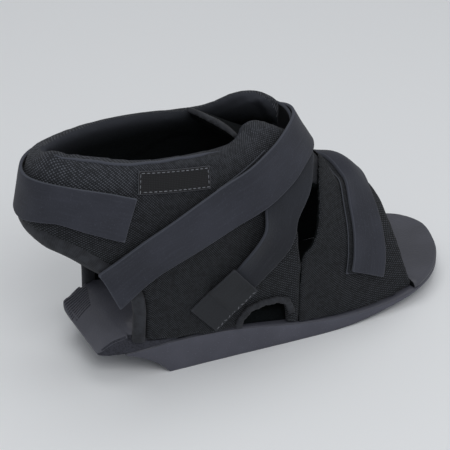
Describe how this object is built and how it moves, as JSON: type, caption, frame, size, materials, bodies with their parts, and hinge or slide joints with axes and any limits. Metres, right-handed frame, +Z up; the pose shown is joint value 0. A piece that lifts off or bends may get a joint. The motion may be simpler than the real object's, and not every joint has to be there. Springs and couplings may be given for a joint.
{
  "type": "heel relief shoe brace",
  "caption": "Heel relief shoe: padded open-heel fabric upper on a rocker sole cut away under the heel, closed by hook-and-loop straps over instep and forefoot.",
  "frame": {"origin": "middle of the shoe's box at the ground under the sole", "axes": "+X to the toe, +Y to the far side of the picture, which is the foot's inner side, +Z up"},
  "size_m": [0.29, 0.1034, 0.1498],
  "materials": {
    "sole_rubber": "moulded, matte, dark slate grey",
    "footbed_foam": "closed-cell foam, matte, dark grey",
    "mesh_fabric": "coarse knitted mesh over foam, near black",
    "lining_fabric": "brushed lining, near black",
    "binding_tape": "folded knit tape, near black",
    "strap_webbing": "brushed loop webbing, dark slate",
    "loop_tape": "brushed loop tape, near black",
    "patch_fabric": "plain woven patch with a stitched border"
  },
  "bodies": {
    "root": {"outsole": "sole_rubber", "footbed": "footbed_foam", "rear_upper": "mesh_fabric", "vamp": "mesh_fabric", "tongue": "lining_fabric", "heel_binding": "binding_tape", "arch_trim_near": "binding_tape", "arch_trim_far": "binding_tape", "heel_strap": "strap_webbing", "instep_strap_near": "strap_webbing", "instep_strap_far": "strap_webbing", "forefoot_strap": "strap_webbing", "strap_tab_near": "strap_webbing", "strap_tab_far": "strap_webbing", "forefoot_loop_strip": "loop_tape", "loop_patch_near": "loop_tape", "loop_patch_far": "loop_tape", "label_patch": "patch_fabric"}
  },
  "joints": []
}
